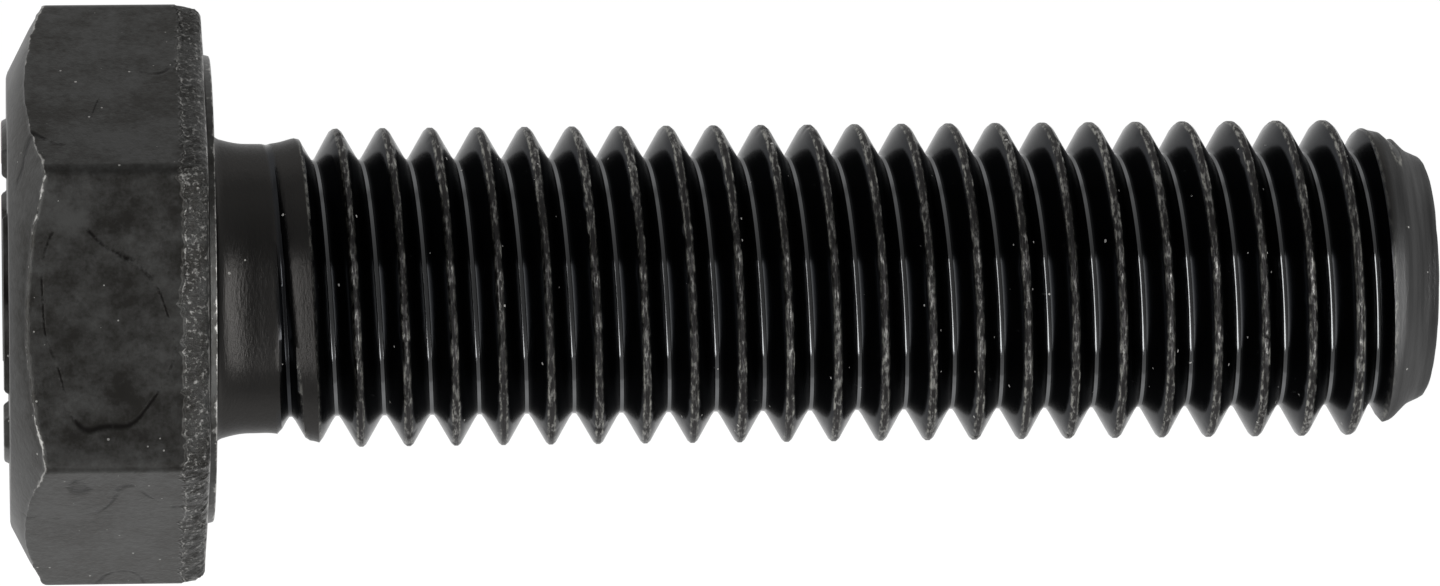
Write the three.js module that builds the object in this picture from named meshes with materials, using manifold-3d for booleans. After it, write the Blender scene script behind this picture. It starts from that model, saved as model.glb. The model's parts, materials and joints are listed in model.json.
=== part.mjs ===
// Hexagon head bolt, M12 x 1.75 x 45, threaded up to the head: one steel forging with a rolled thread.
// Millimetres. The axis is +X, from the top of the head at x = 0, and the 45 mm is counted from under the head.
// +Z leaves one of the six wrench flats, and a corner of the hexagon points to +Y.
import * as THREE from "three";
import { mergeVertices } from "three/addons/utils/BufferGeometryUtils.js";
import Module from "manifold-3d";

const wasm = await Module();
wasm.setup();

// Head
const ACROSS_FLATS = 18.7; // nominal 19
const CORNER_RADIUS = 0.6; // the forging doesn't quite fill the six corners
const HEAD_HEIGHT = 7.45; // nominal 7.5, with the washer face
const TOP_FLAT_DIAMETER = 16.5; // the flat circle inside the top chamfer
const TOP_CHAMFER_ANGLE = THREE.MathUtils.degToRad(27); // from the plane of the top
const WASHER_FACE_DIAMETER = 17.2;
const WASHER_FACE_HEIGHT = 0.27;

// Raised ring on the top of the head, in four arcs
const RING_RADIUS = 5.7; // middle of its width
const RING_WIDTH = 1.2;
const RING_HEIGHT = 0.2;
const RING_ARC = THREE.MathUtils.degToRad(62);
const RING_ARCS = 4;
const RING_ARC_STEPS = 8;

// Shank
const LENGTH = 45; // from the washer face to the end
const PITCH = 1.75;
const OUTER_DIAMETER = 11.75; // nominal 12, less the allowance of a coated thread
const THREAD_DEPTH = 1.0735; // 17/24 of the sharp triangle's height, 0.866 PITCH
const CREST_FLAT = PITCH / 8;
const HALF_THREAD_ANGLE = THREE.MathUtils.degToRad(30);
const BLANK_DIAMETER = 10.72; // the bar that the thread is rolled on, left plain at the neck
const NECK_LENGTH = 2.7; // from the washer face to where the thread begins
const NECK_FILLET = 0.5;
const RUN_OUT_LENGTH = 1.7; // the first crests rise to full height along this
const FIRST_CREST = 4.636; // from the washer face to the middle of the first crest, on the +Y side
const END_DIAMETER = 8.84; // flat end of the bolt
const END_CONE_DIAMETER = 10.9; // where the end cone stops
const END_CONE_LENGTH = 1.35;
const END_LENGTH = 2.6; // the last crests fade out along this

// Fineness
const TURN_STEPS = 24; // round one turn of thread
const ROUND_STEPS = 48; // round a turned surface
const SPARE = 0.5; // how far a cutting solid stands clear of what it cuts, and a joined one goes in
const ROD_SPARE_TURNS = 2; // the plain threaded rod is this much too long at each end

const BEARING_X = HEAD_HEIGHT;
const THREAD_START_X = BEARING_X + NECK_LENGTH;
const END_X = BEARING_X + LENGTH;

// A closed three.js geometry as a solid that can be joined and cut.
function solid(geometry) {
  geometry.deleteAttribute("normal");
  geometry.deleteAttribute("uv");
  const merged = mergeVertices(geometry);
  const vertProperties = merged.attributes.position.array;
  const triVerts = new Uint32Array(merged.index.array);
  return new wasm.Manifold(new wasm.Mesh({ numProp: 3, vertProperties, triVerts }));
}

// A solid back as a three.js geometry.
function geometryOf(made) {
  const { vertProperties, triVerts } = made.getMesh();
  const geometry = new THREE.BufferGeometry();
  geometry.setAttribute("position", new THREE.BufferAttribute(vertProperties, 3));
  geometry.setIndex(new THREE.BufferAttribute(triVerts, 1));
  geometry.computeVertexNormals();
  return geometry;
}

// A solid of revolution about X. Each point of the outline is [x, radius], and it starts and ends on the axis.
function turned(outline) {
  const points = outline.map(([x, radius]) => new THREE.Vector2(radius, x));
  return solid(new THREE.LatheGeometry(points, ROUND_STEPS).rotateZ(-Math.PI / 2));
}

// A flat shape across the axis, drawn with its own X towards -Z, extruded from x = start to x = end.
function extruded(shape, start, end, curveSegments) {
  const options = { depth: end - start, bevelEnabled: false, curveSegments };
  return solid(new THREE.ExtrudeGeometry(shape, options).rotateY(Math.PI / 2).translate(start, 0, 0));
}

// A hexagon with rounded corners and a flat towards +X and -X.
function hexagonShape() {
  const shape = new THREE.Shape();
  const centreRadius = (ACROSS_FLATS / 2 - CORNER_RADIUS) / Math.cos(Math.PI / 6);
  for (let corner = 0; corner < 6; corner++) {
    const angle = Math.PI / 6 + (corner * Math.PI) / 3;
    const x = centreRadius * Math.cos(angle);
    const y = centreRadius * Math.sin(angle);
    shape.absarc(x, y, CORNER_RADIUS, angle - Math.PI / 6, angle + Math.PI / 6, false);
  }
  return shape.closePath();
}

// The hexagon, with its top edge turned off to a cone.
function headBlock() {
  const under = HEAD_HEIGHT - WASHER_FACE_HEIGHT;
  const farRadius = ACROSS_FLATS;
  const chamferDepth = (farRadius - TOP_FLAT_DIAMETER / 2) * Math.tan(TOP_CHAMFER_ANGLE);
  const cone = turned([
    [0, 0],
    [0, TOP_FLAT_DIAMETER / 2],
    [chamferDepth, farRadius],
    [HEAD_HEIGHT + SPARE, farRadius],
    [HEAD_HEIGHT + SPARE, 0],
  ]);
  return extruded(hexagonShape(), 0, under, 3).intersect(cone);
}

// One arc of the raised ring, about the angle given.
function ringArc(middle) {
  const inner = RING_RADIUS - RING_WIDTH / 2;
  const outer = RING_RADIUS + RING_WIDTH / 2;
  const shape = new THREE.Shape();
  shape.absarc(0, 0, outer, middle - RING_ARC / 2, middle + RING_ARC / 2, false);
  shape.absarc(0, 0, inner, middle + RING_ARC / 2, middle - RING_ARC / 2, true);
  return extruded(shape.closePath(), -RING_HEIGHT, SPARE, RING_ARC_STEPS);
}

// The washer face and the plain neck with its fillet, as one turned shape.
function washerFaceAndNeck() {
  const neckRadius = BLANK_DIAMETER / 2;
  const fillet = [0, 1, 2, 3].map((step) => {
    const angle = (step / 3) * (Math.PI / 2);
    const x = BEARING_X + NECK_FILLET * (1 - Math.cos(angle));
    return [x, neckRadius + NECK_FILLET * (1 - Math.sin(angle))];
  });
  return turned([
    [BEARING_X - WASHER_FACE_HEIGHT - SPARE, 0],
    [BEARING_X - WASHER_FACE_HEIGHT - SPARE, WASHER_FACE_DIAMETER / 2],
    [BEARING_X, WASHER_FACE_DIAMETER / 2],
    ...fillet,
    [THREAD_START_X, neckRadius],
    [THREAD_START_X, 0],
  ]);
}

// The rows of one pitch of thread, as [share of the pitch, radius]: the crest's two edges, then the root's.
function threadSection() {
  const crest = OUTER_DIAMETER / 2;
  const root = crest - THREAD_DEPTH;
  const flank = THREAD_DEPTH * Math.tan(HALF_THREAD_ANGLE);
  return [
    [0, crest],
    [CREST_FLAT / PITCH, crest],
    [(CREST_FLAT + flank) / PITCH, root],
    [1 - flank / PITCH, root],
  ];
}

// A right-hand threaded rod from about x = start. Its surface is one strip as wide as the pitch, wound round the
// axis so that each turn's edge meets the next, and each end is closed from the axis to one turn and its step.
function threadedRod(start, turns) {
  const section = threadSection();
  const rows = section.length;
  const steps = turns * TURN_STEPS;
  const corners = [];

  const at = (step, row) => {
    const [share, radius] = row < rows ? section[row] : [1, section[0][1]];
    const angle = ((step % TURN_STEPS) / TURN_STEPS) * 2 * Math.PI;
    const x = start + PITCH * (step / TURN_STEPS + share);
    return [x, radius * Math.cos(angle), radius * Math.sin(angle)];
  };
  const face = (...points) => corners.push(...points.flat());

  for (let step = 0; step < steps; step++) {
    for (let row = 0; row < rows; row++) {
      face(at(step, row), at(step + 1, row), at(step + 1, row + 1));
      face(at(step, row), at(step + 1, row + 1), at(step, row + 1));
    }
  }
  const near = [start, 0, 0];
  const far = [start + PITCH * (turns + 1), 0, 0];
  for (let step = 0; step < TURN_STEPS; step++) {
    face(near, at(step + 1, 0), at(step, 0));
    face(far, at(steps - TURN_STEPS + step, rows), at(steps - TURN_STEPS + step + 1, rows));
  }
  for (let row = 0; row < rows; row++) {
    face(near, at(0, row), at(0, row + 1));
    face(far, at(steps, row + 1), at(steps, row));
  }
  const geometry = new THREE.BufferGeometry();
  geometry.setAttribute("position", new THREE.Float32BufferAttribute(corners, 3));
  return solid(geometry);
}

// The thread: the rod, kept inside an outline that lets the crests rise from the neck and fade out at the end.
function thread() {
  const full = OUTER_DIAMETER / 2 + SPARE;
  const crest = OUTER_DIAMETER / 2;
  const neckRadius = BLANK_DIAMETER / 2;
  const outline = turned([
    [THREAD_START_X - SPARE, 0],
    [THREAD_START_X - SPARE, neckRadius - SPARE / 4],
    [THREAD_START_X, neckRadius + 0.2],
    [THREAD_START_X + RUN_OUT_LENGTH, crest],
    [THREAD_START_X + RUN_OUT_LENGTH, full],
    [END_X - END_LENGTH, full],
    [END_X - END_LENGTH, crest],
    [END_X - END_CONE_LENGTH, END_CONE_DIAMETER / 2],
    [END_X, END_DIAMETER / 2],
    [END_X, 0],
  ]);
  const turns = Math.ceil((END_X - THREAD_START_X) / PITCH) + 2 * ROD_SPARE_TURNS;
  const firstTurn = Math.floor(FIRST_CREST / PITCH) + ROD_SPARE_TURNS;
  const start = BEARING_X + FIRST_CREST - CREST_FLAT / 2 - firstTurn * PITCH;
  return threadedRod(start, turns).intersect(outline);
}

function hexBolt() {
  let made = headBlock().add(washerFaceAndNeck()).add(thread());
  for (let arc = 0; arc < RING_ARCS; arc++) {
    made = made.add(ringArc((arc * 2 * Math.PI) / RING_ARCS));
  }
  const blackOxide = new THREE.MeshStandardMaterial({ color: 0x2f2e2d, roughness: 0.45, metalness: 0.9 });
  const bolt = new THREE.Mesh(geometryOf(made), blackOxide);
  bolt.name = "hex_bolt";
  return bolt;
}

const part = new THREE.Group();
part.add(hexBolt());

export default part;
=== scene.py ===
import json
import math

import bmesh
import bpy
import numpy as np
from mathutils import Matrix, Vector


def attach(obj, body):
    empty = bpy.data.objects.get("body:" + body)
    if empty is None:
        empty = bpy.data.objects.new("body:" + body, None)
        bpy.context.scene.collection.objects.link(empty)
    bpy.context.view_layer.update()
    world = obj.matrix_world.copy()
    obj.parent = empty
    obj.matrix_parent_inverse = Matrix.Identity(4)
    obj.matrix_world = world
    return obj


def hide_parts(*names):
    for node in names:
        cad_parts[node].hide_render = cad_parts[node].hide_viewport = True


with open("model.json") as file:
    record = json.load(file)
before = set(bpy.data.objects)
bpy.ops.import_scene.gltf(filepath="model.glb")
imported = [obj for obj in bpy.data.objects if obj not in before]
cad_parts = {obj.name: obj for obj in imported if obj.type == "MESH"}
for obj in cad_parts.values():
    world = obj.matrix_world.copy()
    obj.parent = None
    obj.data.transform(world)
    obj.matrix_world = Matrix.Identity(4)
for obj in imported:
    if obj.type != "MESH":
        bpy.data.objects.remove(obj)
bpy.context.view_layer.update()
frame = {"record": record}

# A hexagon head bolt, M12 x 1.75 x 45, in black oxide steel: cold forged, trimmed, its thread rolled.
# Lengths are millimetres until the one scale MM makes them Blender's metres. The bolt's axis is +X.
MM = 0.001


def mount(name):
    """The named mount's point, in millimetres."""
    for m in frame["record"]["mounts"]:
        if m["name"] == name:
            return Vector(m["pos_m"]) / MM
    raise KeyError(name)


BEARING_X = mount("bearing_face").x
END_X = mount("thread_end").x
ACROSS_FLATS = 2 * mount("wrench_flat_up").z

# Thread
PITCH = 1.75
CREST_RADIUS = 5.875
ROOT_RADIUS = CREST_RADIUS - 1.15
ROOT_FLAT = PITCH / 10
FIRST_CREST = 4.636  # from the washer face, on the +Y side
LENGTH = END_X - BEARING_X
AROUND = 192  # points round the shank
HEAD_AROUND = 3 * AROUND
ROWS = 14  # points across one pitch
ROW_CROWDING = 0.55  # how much closer they are at roots and crests, as a share of even
NECK_END = 5.0  # from here to the pointed end the outline is straight

# Head
WASHER_RADIUS = 8.6
WASHER_HEIGHT = 0.27
RIM_FLARE = 0.1  # how far the foot of its rim spreads
FILLET_RADIUS = 0.5
NECK_SIDE = 5.48  # where the fillet would meet a straight neck
CORNER_RADIUS = 0.6
TOP_RADIUS = 8.25
CHAMFER = math.radians(27)
TRIM_WIDTH = 0.95
HEXAGON_SHIFT = -0.2  # along Y, from the thread's axis: forging dies are never quite in line
CHAMFER_SHIFT = -0.33
RING_RADIUS = 5.7
RING_WIDTH = 1.2
RING_HEIGHT = 0.2
RING_ARC = math.radians(62)
RING_ARCS = 4
UNDER_X = BEARING_X - WASHER_HEIGHT  # the hexagon's underside

# Points round the axis: the shank's, the head's, and the head's crowded towards the hexagon's corners
EVEN = np.arange(AROUND) / AROUND * 2 * math.pi
FINE = np.arange(HEAD_AROUND) / HEAD_AROUND * 2 * math.pi
CROWDED = FINE - 0.7 / 6 * np.sin(6 * FINE)
WELD = 0.002 * MM  # points nearer than this are one

# Light, as radiance
TABLE_GLOW = 1.01
FRONT_LAMP = 0.25  # more, over the light table's front tubes
BACK_FALL = 0.55  # less, towards its back edge
RIGHT_PANEL = 6.2
LEFT_PANEL = 4.0
HORIZON = 0.55
ZENITH = 0.21

# Panels: height in metres, and the slopes x/height and y/height at which the bolt sees their edges
PANEL_HEIGHT = 0.35
PANEL_NEAR = 0.42
PANEL_FAR = 0.8
PANEL_BACK = 0.5
PANEL_FRONT = -1.9
PANEL_CENTRE_X = 0.025  # metres, half way along the bolt
FLOOR_HALF = 4.0  # metres

# Camera, in millimetres
EYE_DISTANCE = 315.1
LENS = 212.5
SENSOR = 36
AIM_X = BEARING_X + 23.86  # a point on the axis
AIM_RIGHT = 5.02  # where it stands from the picture's centre
AIM_ABOVE = 0.387

# An oxide layer doesn't whiten at a grazing angle as bare steel does
FLAT_TINT = "#ebebeb"
EDGE_TINT = "#c4c4c4"


def add(tree, kind, inputs=(), **settings):
    """Adds one node. Each input is a value, a socket, or a node whose first output feeds it."""
    node = tree.nodes.new(kind)
    for name, value in settings.items():
        setattr(node, name, value)
    for key, value in inputs.items() if isinstance(inputs, dict) else enumerate(inputs):
        if isinstance(value, bpy.types.Node):
            value = value.outputs[0]
        if isinstance(value, bpy.types.NodeSocket):
            tree.links.new(value, node.inputs[key])
        else:
            node.inputs[key].default_value = value
    return node


def colour(hex_code):
    """An sRGB hex colour as linear RGBA."""
    parts = [int(hex_code[i : i + 2], 16) / 255 for i in (1, 3, 5)]
    return [p / 12.92 if p <= 0.04045 else ((p + 0.055) / 1.055) ** 2.4 for p in parts] + [1]


def faired(stations, radii, step=0.05):
    """Points [station, radius] along a smooth line through the given ones."""
    stations, radii = np.array(stations, float), np.array(radii, float)
    slopes = np.gradient(radii, stations)
    points = []
    for i in range(len(stations) - 1):
        width = stations[i + 1] - stations[i]
        t = np.linspace(0, 1, max(2, int(width / step)), endpoint=False)
        r = (
            (2 * t**3 - 3 * t**2 + 1) * radii[i]
            + (t**3 - 2 * t**2 + t) * width * slopes[i]
            + (3 * t**2 - 2 * t**3) * radii[i + 1]
            + (t**3 - t**2) * width * slopes[i + 1]
        )
        points += [[stations[i] + width * a, b] for a, b in zip(t, r)]
    return points + [[stations[-1], radii[-1]]]


def shank_outline():
    """The shank's outline with its thread grooves filled, as [distance from the washer face, radius]."""
    centre = [FILLET_RADIUS, NECK_SIDE + FILLET_RADIUS]
    fillet = [
        [centre[0] - FILLET_RADIUS * math.cos(a), centre[1] - FILLET_RADIUS * math.sin(a)]
        for a in np.radians(np.arange(0, 78, 6))
    ]
    neck = faired(
        [fillet[-1][0], 0.75, 1.1, 1.6, 2.2, 2.6, 2.95, 3.3, 3.8, 4.3, 4.7],
        [fillet[-1][1], 5.40, 5.345, 5.33, 5.335, 5.40, 5.50, 5.57, 5.66, 5.82, CREST_RADIUS],
    )
    end = faired(
        [-3.1, -2.6, -2.03, -1.6, -1.25, -0.95, -0.7, -0.35, -0.12],
        [CREST_RADIUS, 5.82, 5.52, 5.42, 5.30, 5.02, 4.78, 4.60, 4.50],
    )
    end = [[LENGTH + s, r] for s, r in end]
    corner = [[LENGTH - 0.03, 4.43], [LENGTH, 4.34]]
    return fillet[:-1] + neck + end + corner + [[LENGTH, 0]]


def thread_inputs(tree):
    """The thread's named inputs, as the group's own sockets."""
    face = tree.interface
    face.new_socket("Outline", in_out="INPUT", socket_type="NodeSocketGeometry")
    for name, kind in (
        ("Pitch", "Float"),
        ("Crest Radius", "Float"),
        ("Root Radius", "Float"),
        ("Root Flat", "Float"),
        ("Root Rounding", "Float"),
        ("Crest Rounding", "Float"),
        ("First Root", "Float"),
        ("Length To Straight", "Float"),
        ("End Length", "Float"),
        ("Run In Start", "Float"),
        ("Run In Length", "Float"),
        ("Run In Rise", "Float"),
        ("Run Out Start", "Float"),
        ("Run Out End", "Float"),
        ("Bearing X", "Float"),
        ("Nick Depth", "Float"),
        ("Seed", "Float"),
        ("Around", "Int"),
        ("Rows", "Int"),
        ("Turns", "Int"),
        ("Material", "Material"),
    ):
        face.new_socket(name, in_out="INPUT", socket_type="NodeSocket" + kind)
    face.new_socket("Thread", in_out="OUTPUT", socket_type="NodeSocketGeometry")
    return add(tree, "NodeGroupInput").outputs


def flat_strip(tree, given):
    """The strip before it is wound: its mesh, u once round the axis, and turn along it, in pitches."""
    around = add(tree, "ShaderNodeMath", [given["Around"], 1], operation="ADD")
    row_count = add(tree, "ShaderNodeMath", [given["Rows"], given["Turns"]], operation="MULTIPLY")
    points = add(tree, "ShaderNodeMath", [row_count, 1], operation="ADD")
    grid = add(
        tree,
        "GeometryNodeMeshGrid",
        {"Size X": 1, "Size Y": 1, "Vertices X": around, "Vertices Y": points},
    )
    place = add(tree, "ShaderNodeSeparateXYZ", [add(tree, "GeometryNodeInputPosition")]).outputs
    u = add(tree, "ShaderNodeMath", [place["X"], 0.5], operation="ADD")
    v = add(tree, "ShaderNodeMath", [place["Y"], 0.5], operation="ADD")
    turn = add(tree, "ShaderNodeMath", [v, given["Turns"]], operation="MULTIPLY")
    # Rows are closer at roots and crests: turn - a sin(4 pi turn) leaves whole and half turns in place
    wave = add(tree, "ShaderNodeMath", [turn, 4 * math.pi], operation="MULTIPLY")
    wave = add(tree, "ShaderNodeMath", [wave], operation="SINE")
    turn = add(tree, "ShaderNodeMath", [wave, -ROW_CROWDING / (4 * math.pi), turn], operation="MULTIPLY_ADD")
    return grid, u, turn


def outline_at(tree, given, station):
    """The outline's point at a station. On the end face the rows run three times as far apart."""
    along = add(tree, "ShaderNodeMath", [station, given["Length To Straight"]], operation="ADD")
    past = add(tree, "ShaderNodeMath", [along, given["End Length"]], operation="SUBTRACT")
    past = add(tree, "ShaderNodeMath", [past, 0], operation="MAXIMUM")
    along = add(tree, "ShaderNodeMath", [past, 2, along], operation="MULTIPLY_ADD")
    line = add(tree, "GeometryNodeMeshToCurve", [given["Outline"]])
    sample = add(tree, "GeometryNodeSampleCurve", {"Curves": line, "Length": along}, mode="LENGTH")
    return add(tree, "ShaderNodeSeparateXYZ", [sample.outputs["Position"]]).outputs


def rolled_groove(tree, given, u, turn, station):
    """The groove's radius: a rounded V of 60 degrees, its bottom coming up to the surface at both ends."""
    from_root = add(tree, "ShaderNodeMath", [turn, given["Pitch"]], operation="MULTIPLY")
    half_pitch = add(tree, "ShaderNodeMath", [given["Pitch"], 0.5], operation="MULTIPLY")
    from_root = add(tree, "ShaderNodeMath", [from_root, half_pitch], operation="PINGPONG")
    side = add(tree, "ShaderNodeMath", [given["Root Flat"], -0.5, from_root], operation="MULTIPLY_ADD")
    side = add(tree, "ShaderNodeMath", [side, 0, given["Root Rounding"]], operation="SMOOTH_MAX")
    whole = add(tree, "ShaderNodeMath", [turn], operation="ROUND")
    whole = add(tree, "ShaderNodeMath", [whole, u], operation="ADD")
    root_at = [whole, given["Pitch"], given["First Root"]]
    root_at = add(tree, "ShaderNodeMath", root_at, operation="MULTIPLY_ADD")
    run_in = add(tree, "ShaderNodeMath", [root_at, given["Run In Start"]], operation="SUBTRACT")
    run_in = add(tree, "ShaderNodeMath", [run_in, given["Run In Length"]], operation="DIVIDE")
    run_in = add(tree, "ShaderNodeMath", [run_in, 3], operation="POWER")
    run_in = add(tree, "ShaderNodeMath", [1, run_in], operation="SUBTRACT")
    run_in = add(tree, "ShaderNodeMath", [run_in, 0], operation="MAXIMUM")
    bottom = [run_in, given["Run In Rise"], given["Root Radius"]]
    bottom = add(tree, "ShaderNodeMath", bottom, operation="MULTIPLY_ADD")
    fade = add(
        tree,
        "ShaderNodeMapRange",
        {
            "Value": station,
            "From Min": given["Run Out Start"],
            "From Max": given["Run Out End"],
            "To Max": given["Run In Rise"],
        },
        interpolation_type="SMOOTHSTEP",
    )
    bottom = add(tree, "ShaderNodeMath", [bottom, fade], operation="ADD")
    return add(tree, "ShaderNodeMath", [side, math.sqrt(3), bottom], operation="MULTIPLY_ADD")


def crest_nicks(tree, given, place, radius, station):
    """How deep the crests are nicked at a place, from handling in bulk. The neck is spared."""
    # The place is x in metres on a circle of radius 1: this makes nicks half a millimetre wide
    scaled = add(tree, "ShaderNodeVectorMath", [place, (900, 7, 7)], operation="MULTIPLY")
    noise = add(
        tree,
        "ShaderNodeTexNoise",
        {"Vector": scaled, "W": given["Seed"], "Scale": 2.2, "Detail": 3, "Roughness": 0.6},
        noise_dimensions="4D",
    )
    nick = add(tree, "ShaderNodeMapRange", {"Value": noise, "From Min": 0.58, "From Max": 0.78})
    full = add(tree, "ShaderNodeMath", [radius, given["Crest Radius"]], operation="DIVIDE")
    full = add(tree, "ShaderNodeMapRange", {"Value": full, "From Min": 0.97, "From Max": 1.0})
    beyond = add(tree, "ShaderNodeMath", [station, given["Run In Start"]], operation="GREATER_THAN")
    for share in (full, beyond, given["Nick Depth"]):
        nick = add(tree, "ShaderNodeMath", [nick, share], operation="MULTIPLY")
    return nick


def thread_tree():
    """Geometry Nodes: a strip one pitch wide is wound round the shank and the thread rolled into it."""
    tree = bpy.data.node_groups.new("rolled_thread", "GeometryNodeTree")
    given = thread_inputs(tree)
    grid, u, turn = flat_strip(tree, given)
    wound = add(tree, "ShaderNodeMath", [turn, u], operation="ADD")
    station = [wound, given["Pitch"], given["First Root"]]
    station = add(tree, "ShaderNodeMath", station, operation="MULTIPLY_ADD")
    on_line = outline_at(tree, given, station)
    groove = rolled_groove(tree, given, u, turn, station)

    # Crests are rounded, less so where the thread starts
    settled = add(tree, "ShaderNodeMath", [station, given["Run In Start"]], operation="DIVIDE")
    settled = {"Value": settled, "From Min": 1.3, "From Max": 2, "To Min": 0.3}
    settled = add(tree, "ShaderNodeMapRange", settled)
    rounding = add(tree, "ShaderNodeMath", [given["Crest Rounding"], settled], operation="MULTIPLY")
    radius = add(tree, "ShaderNodeMath", [on_line["Z"], groove, rounding], operation="SMOOTH_MIN")

    # How far the groove stands above the surface tells a crest from a flank
    above = add(tree, "ShaderNodeMath", [groove, on_line["Z"]], operation="SUBTRACT")
    crest = add(
        tree,
        "ShaderNodeMapRange",
        {"Value": above, "From Min": -0.02 * MM, "From Max": 0.08 * MM},
        interpolation_type="SMOOTHSTEP",
    )

    angle = add(tree, "ShaderNodeMath", [u, 2 * math.pi], operation="MULTIPLY")
    cosine = add(tree, "ShaderNodeMath", [angle], operation="COSINE")
    sine = add(tree, "ShaderNodeMath", [angle], operation="SINE")
    x = add(tree, "ShaderNodeMath", [on_line["X"], given["Bearing X"]], operation="ADD")
    on_cylinder = add(tree, "ShaderNodeCombineXYZ", [x, cosine, sine])
    nick = crest_nicks(tree, given, on_cylinder, radius, station)
    radius = add(tree, "ShaderNodeMath", [radius, nick], operation="SUBTRACT")
    y = add(tree, "ShaderNodeMath", [radius, cosine], operation="MULTIPLY")
    z = add(tree, "ShaderNodeMath", [radius, sine], operation="MULTIPLY")
    place = add(tree, "ShaderNodeCombineXYZ", [x, y, z])

    # The mask is stored first: its value is worked out from where the points are on the flat strip
    marked = add(
        tree,
        "GeometryNodeStoreNamedAttribute",
        {"Geometry": grid, "Name": "crest", "Value": crest},
        data_type="FLOAT",
        domain="POINT",
    )
    placed = add(tree, "GeometryNodeSetPosition", {"Geometry": marked, "Position": place})
    merged = add(tree, "GeometryNodeMergeByDistance", {"Geometry": placed, "Distance": WELD})
    real = add(tree, "GeometryNodeRealizeInstances", [merged])
    painted = add(tree, "GeometryNodeSetMaterial", {"Geometry": real, "Material": given["Material"]})
    add(tree, "NodeGroupOutput", [painted])
    return tree


def shank_mesh(material):
    """The fillet, neck, rolled thread and end of the bolt, open at the washer face."""
    outline = shank_outline()
    lengths = np.cumsum([0] + [math.dist(a, b) for a, b in zip(outline, outline[1:])])
    straight = next(i for i, p in enumerate(outline) if p[0] > NECK_END)
    corner = len(outline) - 2
    mesh = bpy.data.meshes.new("shank_outline")
    points = [(s * MM, 0, r * MM) for s, r in outline]
    mesh.from_pydata(points, [(i, i + 1) for i in range(len(points) - 1)], [])
    host = bpy.data.objects.new("shank_outline", mesh)
    bpy.context.scene.collection.objects.link(host)

    tree = thread_tree()
    first_root = FIRST_CREST - 0.5 * PITCH - 4 * PITCH
    to_straight = lengths[straight] - outline[straight][0]
    # On the end face the rows run three times as far apart
    turns = math.ceil((LENGTH + ROOT_RADIUS / 3 - first_root) / PITCH)
    values = {
        "Pitch": PITCH * MM,
        "Crest Radius": CREST_RADIUS * MM,
        "Root Radius": ROOT_RADIUS * MM,
        "Root Flat": ROOT_FLAT * MM,
        "Root Rounding": 0.09 * MM,
        "Crest Rounding": 0.1 * MM,
        "First Root": first_root * MM,
        "Length To Straight": to_straight * MM,
        "End Length": lengths[corner] * MM,
        "Run In Start": 1.95 * MM,
        "Run In Length": 0.9 * MM,
        "Run In Rise": 0.57 * MM,
        "Run Out Start": (LENGTH - 1.5) * MM,
        "Run Out End": (LENGTH - 0.7) * MM,
        "Bearing X": BEARING_X * MM,
        "Nick Depth": 0.12 * MM,
        "Seed": 3.0,
        "Around": AROUND,
        "Rows": ROWS,
        "Turns": turns,
        "Material": material,
    }
    modifier = host.modifiers.new("thread", "NODES")
    modifier.node_group = tree
    for item in tree.interface.items_tree:
        if item.item_type == "SOCKET" and item.in_out == "INPUT" and item.name in values:
            modifier[item.identifier] = values[item.name]
    host.update_tag()
    graph = bpy.context.evaluated_depsgraph_get()
    made = bpy.data.meshes.new_from_object(host.evaluated_get(graph))
    bpy.data.objects.remove(host)
    return made


def hexagon_radius(angle):
    """From the axis to the side of the hexagon with rounded corners. A corner is at angle 0."""
    apothem = ACROSS_FLATS / 2
    turn = (angle + math.pi / 6) % (math.pi / 3) - math.pi / 6
    centre = (apothem - CORNER_RADIUS) / math.cos(math.pi / 6)
    touch = math.atan2(CORNER_RADIUS / 2, centre + CORNER_RADIUS * math.cos(math.pi / 6))
    across = np.clip(CORNER_RADIUS**2 - (centre * np.sin(turn)) ** 2, 0, None)
    rounded = centre * np.cos(turn) + np.sqrt(across)
    return np.where(np.abs(turn) < touch, rounded, apothem / np.cos(np.abs(turn) - math.pi / 6))


def ripple(angle, terms, seed):
    """A fixed uneven wave round the head, within about -1 to 1: a sum of sines of the given counts."""
    rng = np.random.default_rng(seed)
    total = sum(np.sin(n * angle + rng.uniform(0, 2 * math.pi)) for n in terms)
    return total / math.sqrt(len(terms))


def ring(x, y, z, worn=0.0, trim=0.0):
    """One ring of points, as arrays x, y, z, edge wear and trimmed band."""
    full = np.ones_like(y)
    return [full * value for value in (x, y, z, worn, trim)]


def circle(angle, x, radius, shift=0.0, worn=0.0):
    """A ring that is a circle about the axis, or about a line shifted along Y."""
    return ring(x, radius * np.cos(angle) + shift, radius * np.sin(angle), worn)


def washer_face():
    """Rings from the fillet out over the washer face, and down its rim."""
    fillet_edge = NECK_SIDE + FILLET_RADIUS
    width = WASHER_RADIUS - fillet_edge
    rows = [circle(EVEN, BEARING_X, fillet_edge + share * width) for share in (0, 0.3, 0.6, 0.85)]
    # On the rim's side the wear of 0.6 is partly rubbing and partly a painted highlight that makes the side
    # lighter
    for x, growth, worn in (
        (BEARING_X, -0.07, 0.3),
        (BEARING_X - 0.02, -0.025, 1.0),
        (BEARING_X - 0.07, -0.01, 0.6),
        (UNDER_X + 0.03, 0.03, 0.3),
        (UNDER_X, RIM_FLARE, 0.0),
    ):
        rows.append(circle(EVEN, x, WASHER_RADIUS + growth, 0, worn))
    return rows


def underside(y, z):
    """The underside of the hexagon, falling away a little towards the edge."""
    inner = WASHER_RADIUS + RIM_FLARE
    edge = np.hypot(y, z) - 0.5
    rows = []
    for share in (0.3, 0.65):
        radius = inner + share * (edge - inner)
        angle = np.arctan2(z, y) + (1 - share) * (FINE - CROWDED)
        drop = 0.02 * share * (radius - inner)
        rows.append(ring(UNDER_X - drop, radius * np.cos(angle), radius * np.sin(angle)))
    return rows


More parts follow.
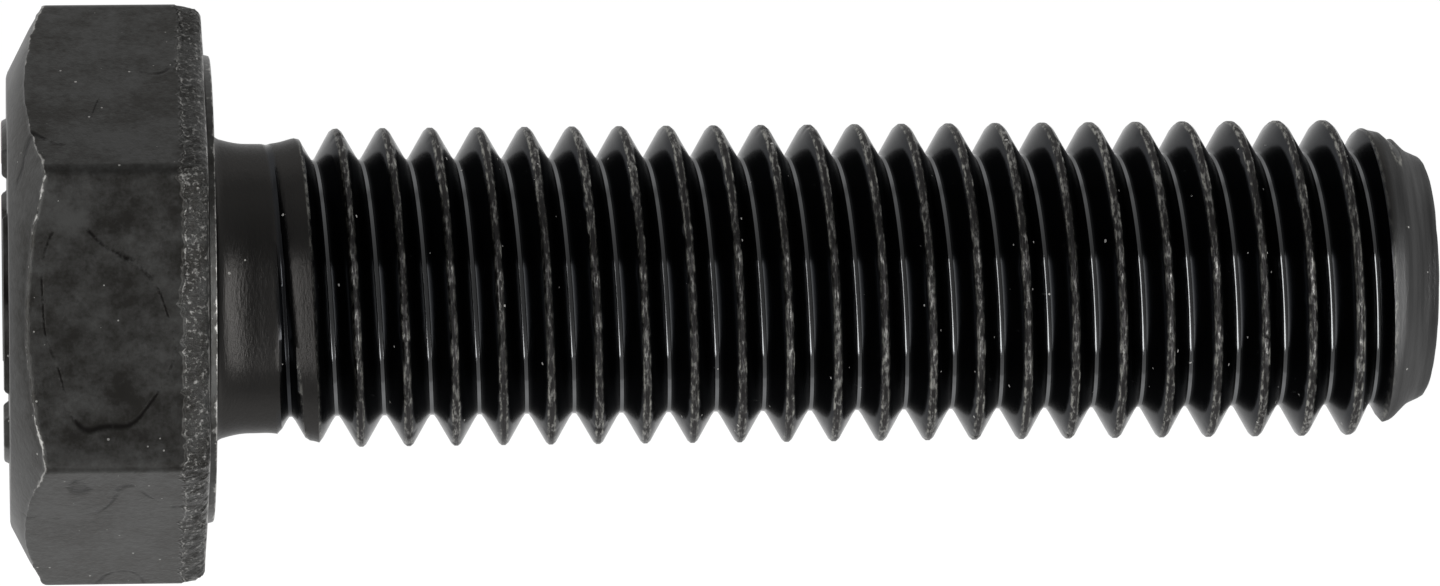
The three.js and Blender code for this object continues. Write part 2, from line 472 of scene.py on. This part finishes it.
def trimmed_edge(side, y, z, band):
    """The edge as the trimming die left it where it broke through: drawn in and torn."""
    rows = []
    for drop, inset, rough, worn in (
        (0.04, 0.42, 0.5, 1.0),
        (0.12, 0.30, 1.0, 0.3),
        (0.25, 0.21, 1.2, 0.1),
        (0.42, 0.14, 1.2, 0.1),
        (0.62, 0.09, 1.0, 0.1),
        (0.82, 0.06, 0.8, 0.2),
        (0.97, 0.035, 0.7, 0.8),
    ):
        wobble = ripple(CROWDED + drop, (83, 113, 151, 199, 263), int(10 + 100 * drop))
        shrink = 1 - np.clip(inset + 0.03 * rough * wobble, 0, None) / side
        drawn_y = (y - HEXAGON_SHIFT) * shrink + HEXAGON_SHIFT
        rows.append(ring(UNDER_X - drop * band, drawn_y, z * shrink, worn, 1))
    rows.append(ring(UNDER_X - 1.02 * band, y, z, 0.2, 0.4))
    return rows


def flats_and_chamfer(y, z, low):
    """The flats from low on, and the chamfer: a cone about its own axis, its edge a little uneven."""
    from_centre = y - CHAMFER_SHIFT
    reach = np.hypot(from_centre, z)
    corner = np.clip((reach - ACROSS_FLATS / 2) / 1.2, 0, 1)
    uneven = 0.013 * ripple(CROWDED, (17, 29, 43, 61, 97), 8) * (1 + 2 * corner)
    chamfer_x = np.maximum(reach - TOP_RADIUS, 0.05) * math.tan(CHAMFER)
    rows = [ring(low, y, z)]
    for share in np.linspace(0, 1, 9)[1:-1]:
        rows.append(ring(low + share * (chamfer_x + 0.25 - low), y, z))
    rows.append(ring(chamfer_x + 0.2 + uneven, y, z, 0.1))
    for x, share, inset, worn in (
        (chamfer_x + 0.09 + uneven, 0, 0.008, 0.2 + 0.45 * corner),
        (chamfer_x + 0.02 + uneven, 0, 0.035, 0.62 + 0.4 * corner),
        (chamfer_x + 0.6 * uneven, 0, 0.1 - 0.6 * uneven, 0.3 + 0.45 * corner),
        (chamfer_x * 0.92 - 0.01, 0.08, 0.09, 0.1),
        *((chamfer_x * (1 - part), part, 0, 0) for part in (0.3, 0.6, 0.95)),
        (0.012, 1, 0.03, 0.3),
        (0.0, 1, 0.1, 0),
    ):
        shrink = 1 - share * (1 - TOP_RADIUS / reach) - inset / reach
        rows.append(ring(x, from_centre * shrink + CHAMFER_SHIFT, z * shrink, worn))
    return rows


def top_face():
    """The flat top with its raised ring, whose arcs have soft edges and ends."""
    inner = RING_RADIUS - RING_WIDTH / 2
    outer = RING_RADIUS + RING_WIDTH / 2
    turn = (FINE + math.pi / RING_ARCS) % (2 * math.pi / RING_ARCS) - math.pi / RING_ARCS
    reach = (RING_ARC / 2 - np.abs(turn)) * RING_RADIUS
    height = RING_HEIGHT * np.clip(reach / 0.12 + 0.5, 0, 1)
    rows = [circle(FINE, 0.0, 7.5, 0.6 * CHAMFER_SHIFT)]
    rows.append(circle(FINE, 0.0, outer + 0.25))
    for radius, share in (
        (outer + 0.1, 0.0),
        (outer + 0.04, 0.1),
        (outer - 0.04, 0.85),
        (outer - 0.12, 1.0),
        (inner + 0.12, 1.0),
        (inner + 0.04, 0.85),
        (inner - 0.04, 0.1),
        (inner - 0.1, 0.0),
    ):
        rows.append(circle(FINE, -height * share, radius, 0, 0.3 if share > 0.5 else 0))
    rows += [circle(FINE, 0.0, radius) for radius in (3.6, 1.8)]
    return rows


def head_rows():
    """Rings from the washer face out and up to the top."""
    side = hexagon_radius(CROWDED)
    y = side * np.cos(CROWDED) + HEXAGON_SHIFT
    z = side * np.sin(CROWDED)
    tear = ripple(CROWDED, (97, 131, 173, 211), 5)
    slow = ripple(CROWDED, (11, 17, 29, 41), 6)
    band = TRIM_WIDTH * (1 + 0.07 * slow + 0.05 * tear)
    rows = washer_face() + underside(y, z) + trimmed_edge(side, y, z, band)
    return rows + flats_and_chamfer(y, z, UNDER_X - 1.1 * band) + top_face()


def bridge(a, b, count, more):
    """Faces between a ring of count points from number a on, and a ring of more points from b on."""
    if more == count:
        following = [(i + 1) % count for i in range(count)]
        return [(a + i, b + i, b + j, a + j) for i, j in enumerate(following)]
    ratio = more // count
    faces = []
    for i in range(count):
        j = (i + 1) % count
        outer = [b + (ratio * i + k) % more for k in range(ratio + 1)]
        faces += [(a + i, outer[k], outer[k + 1]) for k in range(ratio // 2)]
        faces.append((a + i, outer[ratio // 2], a + j))
        faces += [(a + j, outer[k], outer[k + 1]) for k in range(ratio // 2, ratio)]
    return faces


def head_mesh():
    """The head as vertices, faces and the two masks edge and trim."""
    rows = head_rows()
    vertices, edge, trim, starts = [], [], [], []
    for x, y, z, worn, trimmed in rows:
        starts.append(len(vertices))
        vertices += list(zip(x * MM, y * MM, z * MM))
        edge += list(worn)
        trim += list(trimmed)
    faces = []
    for a, b, row, following in zip(starts, starts[1:], rows, rows[1:]):
        faces += bridge(a, b, len(row[0]), len(following[0]))
    pole = len(vertices)
    vertices.append((0, 0, 0))
    faces += [(starts[-1] + i, pole, starts[-1] + (i + 1) % HEAD_AROUND) for i in range(HEAD_AROUND)]
    return vertices, faces, edge + [0], trim + [0]


def bolt_piece():
    """The whole forging as one closed mesh: the head and the shank, joined round the fillet."""
    rolled = black_oxide_rolled_thread()
    shank = shank_mesh(rolled)
    points = np.zeros(len(shank.vertices) * 3)
    shank.vertices.foreach_get("co", points)
    crest = np.zeros(len(shank.vertices), np.float32)
    shank.attributes["crest"].data.foreach_get("value", crest)
    vertices, faces, edge, trim = head_mesh()
    offset = len(vertices)
    head_faces = len(faces)
    vertices += [tuple(p) for p in points.reshape(-1, 3)]
    faces += [tuple(offset + i for i in p.vertices) for p in shank.polygons]
    bpy.data.meshes.remove(shank)

    mesh = bpy.data.meshes.new("black_bolt")
    mesh.from_pydata(vertices, [], faces)
    mesh.polygons.foreach_set("material_index", [int(i >= head_faces) for i in range(len(faces))])
    masks = {
        "crest": np.concatenate([np.zeros(offset), crest]),
        "edge": np.concatenate([edge, np.zeros(len(crest))]),
        "trim": np.concatenate([trim, np.zeros(len(crest))]),
    }
    for name, values in masks.items():
        layer = mesh.attributes.new(name, "FLOAT", "POINT")
        layer.data.foreach_set("value", values.astype(np.float32))
    work = bmesh.new()
    work.from_mesh(mesh)
    bmesh.ops.remove_doubles(work, verts=work.verts, dist=WELD)
    bmesh.ops.dissolve_degenerate(work, edges=work.edges, dist=WELD / 2)
    bmesh.ops.triangulate(work, faces=[f for f in work.faces if len(f.verts) > 4])
    work.to_mesh(mesh)
    work.free()
    mesh.shade_smooth()
    mesh.set_sharp_from_angle(angle=math.radians(38))
    mesh.materials.append(black_oxide_forged_steel())
    mesh.materials.append(rolled)
    bolt = bpy.data.objects.new("black_bolt", mesh)
    bpy.context.scene.collection.objects.link(bolt)
    return bolt


def new_tree(name):
    """A new material, its node tree, empty, and the object's own coordinates in metres."""
    material = bpy.data.materials.new(name)
    material.use_nodes = True
    tree = material.node_tree
    tree.nodes.clear()
    return material, tree, add(tree, "ShaderNodeTexCoord").outputs["Object"]


def specks(tree, mm, per_mm, bare):
    """Small round specks, up to a fifth of a cell across, in the cells that aren't among the bare share."""
    dots = add(tree, "ShaderNodeTexVoronoi", {"Vector": mm, "Scale": per_mm}, feature="F1")
    chosen = add(tree, "ShaderNodeSeparateXYZ", [dots.outputs["Color"]])
    size = add(tree, "ShaderNodeMapRange", {"Value": chosen, "From Min": bare, "To Max": 0.1})
    return add(tree, "ShaderNodeMath", [dots.outputs["Distance"], size], operation="LESS_THAN")


def draw_marks(tree, mm, mottle):
    """A few long thin marks, where a slow noise crosses its middle, so that they never branch."""
    stretched = add(tree, "ShaderNodeVectorMath", [mm, (0.2, 0.09, 0.13)], operation="MULTIPLY")
    slow = {"Vector": stretched, "Scale": 1, "Detail": 1.5, "Roughness": 0.4}
    slow = add(tree, "ShaderNodeTexNoise", slow)
    crossing = add(tree, "ShaderNodeMath", [slow, 0.5], operation="SUBTRACT")
    crossing = add(tree, "ShaderNodeMath", [crossing], operation="ABSOLUTE")
    mark = add(
        tree,
        "ShaderNodeMapRange",
        {"Value": crossing, "From Min": 0.002, "From Max": 0.009, "To Min": 1, "To Max": 0},
    )
    broken = add(tree, "ShaderNodeMapRange", {"Value": mottle, "From Min": 0.54, "From Max": 0.46})
    return add(tree, "ShaderNodeMath", [mark, broken], operation="MULTIPLY")


def rubbed_edges(tree, mm, edge):
    """Edges rubbed through in patches of about half a millimetre. On the washer rim's side the lighter
    patches are partly a painted highlight.
    """
    patch = add(tree, "ShaderNodeTexNoise", {"Vector": mm, "Scale": 2.4, "Detail": 4, "Roughness": 0.7})
    wear = add(tree, "ShaderNodeMath", [patch, 2.2, edge], operation="MULTIPLY_ADD")
    return add(
        tree,
        "ShaderNodeMapRange",
        {"Value": wear, "From Min": 1.75, "From Max": 2.15},
        interpolation_type="SMOOTHSTEP",
    )


def torn_facets(tree, mm):
    """The torn band's relief, with facets a third of a millimetre across, and painted glints: which facets
    are coloured light to stand in for sparkle.
    """
    drawn = add(tree, "ShaderNodeVectorMath", [mm, (2.0, 3.4, 3.4)], operation="MULTIPLY")
    torn = add(tree, "ShaderNodeTexNoise", {"Vector": drawn, "Scale": 1, "Detail": 5, "Roughness": 0.75})
    fine = add(tree, "ShaderNodeTexNoise", {"Vector": mm, "Scale": 7.0, "Detail": 2, "Roughness": 0.6})
    painted_glints = add(tree, "ShaderNodeMath", [torn, 0.8, fine], operation="MULTIPLY_ADD")
    painted_glints = {"Value": painted_glints, "From Min": 0.96, "From Max": 1.18, "To Max": 0.8}
    return torn, add(tree, "ShaderNodeMapRange", painted_glints)


def blackened(tree, base, tint, roughness, relief):
    """Ends a tree in blackened steel: bare metal's mirror, dulled and tinted by the oxide."""
    shader = add(
        tree,
        "ShaderNodeBsdfPrincipled",
        {
            "Base Color": base,
            "Metallic": 1.0,
            "Specular Tint": colour(tint),
            "Roughness": roughness,
            "Normal": relief,
        },
    )
    add(tree, "ShaderNodeOutputMaterial", {"Surface": shader})


def black_oxide_forged_steel():
    """Cold-forged steel, hot-blackened and oiled: satin near-black, mottled by the die, edges rubbed; the
    washer rim's side is lighter partly by a painted highlight, and torn facets carry painted glints.
    """
    material, tree, place = new_tree("black_oxide_forged_steel")
    mm = add(tree, "ShaderNodeVectorMath", [place, (1 / MM, 1 / MM, 1 / MM)], operation="MULTIPLY")
    edge = add(tree, "ShaderNodeAttribute", attribute_name="edge").outputs["Fac"]
    trim = add(tree, "ShaderNodeAttribute", attribute_name="trim").outputs["Fac"]

    # Mottling 2 mm wide. The oxide's crystals are microns across, too fine to show, so its grain is drawn
    # a quarter of a millimetre wide
    mottle = add(tree, "ShaderNodeTexNoise", {"Vector": mm, "Scale": 0.42, "Detail": 6, "Roughness": 0.7})
    grain = add(tree, "ShaderNodeTexNoise", {"Vector": mm, "Scale": 4.0, "Detail": 4, "Roughness": 0.7})
    tone = add(tree, "ShaderNodeMath", [grain, 0.35, mottle], operation="MULTIPLY_ADD")
    tone = add(tree, "ShaderNodeMapRange", {"Value": tone, "From Min": 0.56, "From Max": 0.8})

    mark = draw_marks(tree, mm, mottle)
    speck = specks(tree, mm, 2.0, 0.3)
    # Painted glints: on the trimmed band some torn facets are coloured light to stand in for sparkle
    torn, painted_glints = torn_facets(tree, mm)
    painted_glints = add(tree, "ShaderNodeMath", [painted_glints, trim], operation="MULTIPLY")
    rubbed = add(tree, "ShaderNodeMath", [speck, rubbed_edges(tree, mm, edge)], operation="MAXIMUM")
    # The light colour of rubbed edges and specks also carries the torn band's painted glints
    rubbed = add(tree, "ShaderNodeMath", [painted_glints, rubbed], operation="MAXIMUM")
    base = colour("#302f2d")
    for factor, shade in ((tone, "#474746"), (mark, "#1c1b1a"), (rubbed, "#9b9a97")):
        base = {"Factor": factor, "A": base, "B": colour(shade)}
        base = add(tree, "ShaderNodeMix", base, data_type="RGBA").outputs["Result"]

    roughness = add(tree, "ShaderNodeMath", [mottle, 0.3, 0.23], operation="MULTIPLY_ADD")
    roughness = add(tree, "ShaderNodeMath", [trim, -0.06, roughness], operation="MULTIPLY_ADD")
    groove = add(tree, "ShaderNodeMath", [mark, -1], operation="MULTIPLY")
    tearing = add(tree, "ShaderNodeMath", [torn, trim], operation="MULTIPLY")
    relief = add(tree, "ShaderNodeBump", {"Height": grain, "Strength": 0.3, "Distance": 0.06 * MM})
    for height, strength, distance in ((groove, 0.15, 0.06 * MM), (tearing, 0.75, 0.15 * MM)):
        relief = {"Height": height, "Strength": strength, "Distance": distance, "Normal": relief}
        relief = add(tree, "ShaderNodeBump", relief)
    blackened(tree, base, FLAT_TINT, roughness, relief)
    return material


def crest_edge_wear_and_highlight(tree, crest, grain, radius, end):
    """The crests' two edges, lighter in dashes: partly rubbed and partly a painted highlight standing in for
    the rounded edge catching the light. The neck and the groove's start have none.
    """
    beside = add(tree, "ShaderNodeMath", [1, crest], operation="SUBTRACT")
    edge_wear_and_highlight = add(tree, "ShaderNodeMath", [crest, beside], operation="MULTIPLY")
    dashes = {"Value": grain, "From Min": 0.45, "From Max": 0.6, "To Max": 3}
    dashes = add(tree, "ShaderNodeMapRange", dashes)
    outer = add(tree, "ShaderNodeMapRange", {"Value": radius, "From Min": 5.45, "From Max": 5.6})
    outer = add(tree, "ShaderNodeMath", [outer, end], operation="MAXIMUM")
    for share in (dashes, outer):
        edge_wear_and_highlight = add(tree, "ShaderNodeMath", [edge_wear_and_highlight, share], operation="MULTIPLY")
    return add(tree, "ShaderNodeMath", [edge_wear_and_highlight, 1], operation="MINIMUM")


def black_oxide_rolled_thread():
    """Thread rolled between dies, blackened and oiled: burnished flanks, a matt neck, crests rubbed grey,
    their edges lighter in dashes, partly rubbed and partly painted highlight.
    """
    material, tree, place = new_tree("black_oxide_rolled_thread")
    mm = add(tree, "ShaderNodeVectorMath", [place, (1 / MM, 1 / MM, 1 / MM)], operation="MULTIPLY")
    crest = add(tree, "ShaderNodeAttribute", attribute_name="crest").outputs["Fac"]
    across = add(tree, "ShaderNodeVectorMath", [mm, (0, 1, 1)], operation="MULTIPLY")
    radius = add(tree, "ShaderNodeVectorMath", [across], operation="LENGTH").outputs["Value"]
    outermost = add(tree, "ShaderNodeMapRange", {"Value": radius, "From Min": 5.77, "From Max": 5.84})
    x = add(tree, "ShaderNodeSeparateXYZ", [mm]).outputs["X"]
    end = {"Value": x, "From Min": END_X - 1.9, "From Max": END_X - 1.6}
    end = add(tree, "ShaderNodeMapRange", end)
    # The root, which the die's crest burnished
    root = {"Value": radius, "From Min": ROOT_RADIUS + 0.12, "From Max": ROOT_RADIUS + 0.04}
    root = add(tree, "ShaderNodeMapRange", root)

    # Grain drawn out round the shank by the rolling, and rings round the end from the blank's pointing
    drawn = add(tree, "ShaderNodeVectorMath", [mm, (9, 2.6, 2.6)], operation="MULTIPLY")
    grain = add(tree, "ShaderNodeTexNoise", {"Vector": drawn, "Scale": 1, "Detail": 3, "Roughness": 0.7})
    long = add(tree, "ShaderNodeVectorMath", [mm, (3.5, 0.15, 0.15)], operation="MULTIPLY")
    rings = add(tree, "ShaderNodeTexNoise", {"Vector": long, "Scale": 1, "Detail": 3, "Roughness": 0.6})

    # Crests rubbed grey, more in some patches than in others
    patch = add(tree, "ShaderNodeTexNoise", {"Vector": mm, "Scale": 0.8, "Detail": 4, "Roughness": 0.6})
    rubbed = add(tree, "ShaderNodeMath", [patch, 0.6, grain], operation="MULTIPLY_ADD")
    rubbed = add(tree, "ShaderNodeMapRange", {"Value": rubbed, "From Min": 0.82, "From Max": 1.02})
    top = add(tree, "ShaderNodeMath", [crest, outermost], operation="MULTIPLY")
    edge_wear_and_highlight = crest_edge_wear_and_highlight(tree, crest, grain, radius, end)
    speck = specks(tree, mm, 1.5, 0.6)

    shades = []
    for factor, dark, light in ((rings, "#262626", "#636363"), (rubbed, "#333232", "#8c8b88")):
        shade = {"Factor": factor, "A": colour(dark), "B": colour(light)}
        shades.append(add(tree, "ShaderNodeMix", shade, data_type="RGBA").outputs["Result"])
    pointed, worn = shades
    base = colour("#313234")
    for factor, shade in (
        (root, colour("#636465")),
        (crest, colour("#323130")),
        (end, pointed),
        (top, worn),
        # Crest edges: partly rubbed wear, partly a painted highlight
        (edge_wear_and_highlight, colour("#96958f")),
        (speck, colour("#c9c8c5")),
    ):
        base = {"Factor": factor, "A": base, "B": shade}
        base = add(tree, "ShaderNodeMix", base, data_type="RGBA").outputs["Result"]

    # Glossiest in the root, satin on the neck and crests, dullest on the pointed end and on specks
    roughness = add(tree, "ShaderNodeMapRange", {"Value": crest, "To Min": 0.13, "To Max": 0.26})
    for factor, more in ((end, 0.15), (root, -0.06), (grain, 0.1), (speck, 0.6)):
        roughness = add(tree, "ShaderNodeMath", [factor, more, roughness], operation="MULTIPLY_ADD")
    height = add(tree, "ShaderNodeMath", [rings, end], operation="MULTIPLY")
    height = add(tree, "ShaderNodeMath", [height, grain], operation="ADD")
    height = add(tree, "ShaderNodeMath", [height, crest], operation="MULTIPLY")
    relief = add(tree, "ShaderNodeBump", {"Height": height, "Strength": 0.28, "Distance": 0.06 * MM})
    blackened(tree, base, EDGE_TINT, roughness, relief)
    return material


def opal_light_table():
    """An opal acrylic sheet lit from below, brighter over its front tubes and falling off to the back."""
    material, tree, place = new_tree("opal_light_table")
    y = add(tree, "ShaderNodeSeparateXYZ", [place]).outputs["Y"]
    # Each step starts and stops at a Y in metres
    near, far, back = (
        add(
            tree,
            "ShaderNodeMapRange",
            {"Value": y, "From Min": start, "From Max": stop, "To Max": most},
            interpolation_type="SMOOTHSTEP",
        )
        for start, stop, most in (
            (-0.004, -0.024, FRONT_LAMP),
            (-0.08, -0.034, 1),
            (0.013, 0.08, BACK_FALL),
        )
    )
    strength = add(tree, "ShaderNodeMath", [near, far, TABLE_GLOW], operation="MULTIPLY_ADD")
    strength = add(tree, "ShaderNodeMath", [strength, back], operation="SUBTRACT")
    glow = add(tree, "ShaderNodeEmission", {"Color": colour("#ffffff"), "Strength": strength})
    add(tree, "ShaderNodeOutputMaterial", {"Surface": glow})
    return material


def floor():
    """A flat sheet, level with the lowest flat of the head."""
    mesh = bpy.data.meshes.new("floor")
    half, z = FLOOR_HALF, -ACROSS_FLATS / 2 * MM
    corners = [(-half, -half, z), (half, -half, z), (half, half, z), (-half, half, z)]
    mesh.from_pydata(corners, [], [(0, 1, 2, 3)])
    mesh.materials.append(opal_light_table())
    sheet = bpy.data.objects.new("floor", mesh)
    bpy.context.scene.collection.objects.link(sheet)


def panel(name, side, radiance):
    """A soft panel overhead, on the thread's side (1) or the head's (-1)."""
    data = bpy.data.lights.new(name, "AREA")
    data.shape = "RECTANGLE"
    data.size = (PANEL_FAR - PANEL_NEAR) * PANEL_HEIGHT
    data.size_y = (PANEL_BACK - PANEL_FRONT) * PANEL_HEIGHT
    data.energy = radiance * math.pi * data.size * data.size_y
    light = bpy.data.objects.new(name, data)
    light.location = (
        side * (PANEL_NEAR + PANEL_FAR) / 2 * PANEL_HEIGHT + PANEL_CENTRE_X,
        (PANEL_BACK + PANEL_FRONT) / 2 * PANEL_HEIGHT,
        PANEL_HEIGHT,
    )
    bpy.context.scene.collection.objects.link(light)


def room():
    """A room with pale walls and a dim ceiling."""
    world = bpy.data.worlds.new("room")
    world.use_nodes = True
    tree = world.node_tree
    tree.nodes.clear()
    direction = add(tree, "ShaderNodeTexCoord").outputs["Generated"]
    rise = add(tree, "ShaderNodeSeparateXYZ", [direction]).outputs["Z"]
    strength = add(
        tree,
        "ShaderNodeMapRange",
        {"Value": rise, "From Min": 0.1, "From Max": 0.9, "To Min": HORIZON, "To Max": ZENITH},
    )
    sky = add(tree, "ShaderNodeBackground", {"Color": colour("#ffffff"), "Strength": strength})
    add(tree, "ShaderNodeOutputWorld", {"Surface": sky})
    bpy.context.scene.world = world


def studio():
    """The floor, the two panels and the room, shown without a film look."""
    floor()
    panel("right_panel", 1, RIGHT_PANEL)
    panel("left_panel", -1, LEFT_PANEL)
    room()
    bpy.context.scene.view_settings.view_transform = "Standard"


def camera():
    """Looks down on the bolt from 315 mm, 5 degrees towards the head and 5 degrees towards +Y."""
    towards_head, towards_y, roll = math.radians(5.0), math.radians(5.3), math.radians(0.58)
    back = Vector(
        (
            -math.sin(towards_head),
            math.cos(towards_head) * math.sin(towards_y),
            math.cos(towards_head) * math.cos(towards_y),
        )
    )
    right = (Vector((1, 0, 0)) - back * back.x).normalized()
    up = back.cross(right)
    right, up = (
        right * math.cos(roll) - up * math.sin(roll),
        right * math.sin(roll) + up * math.cos(roll),
    )
    data = bpy.data.cameras.new("camera")
    data.sensor_width = SENSOR
    data.lens = LENS
    data.clip_start, data.clip_end = 0.01, 20
    eye = bpy.data.objects.new("camera", data)
    target = Vector((AIM_X, 0, 0))
    place = (target - right * AIM_RIGHT - up * AIM_ABOVE + back * EYE_DISTANCE) * MM
    eye.matrix_world = Matrix.Translation(place) @ Matrix((right, up, back)).transposed().to_4x4()
    bpy.context.scene.collection.objects.link(eye)
    bpy.context.scene.camera = eye


camera()
studio()
bolt = bolt_piece()
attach(bolt, "root")
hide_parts("hex_bolt")
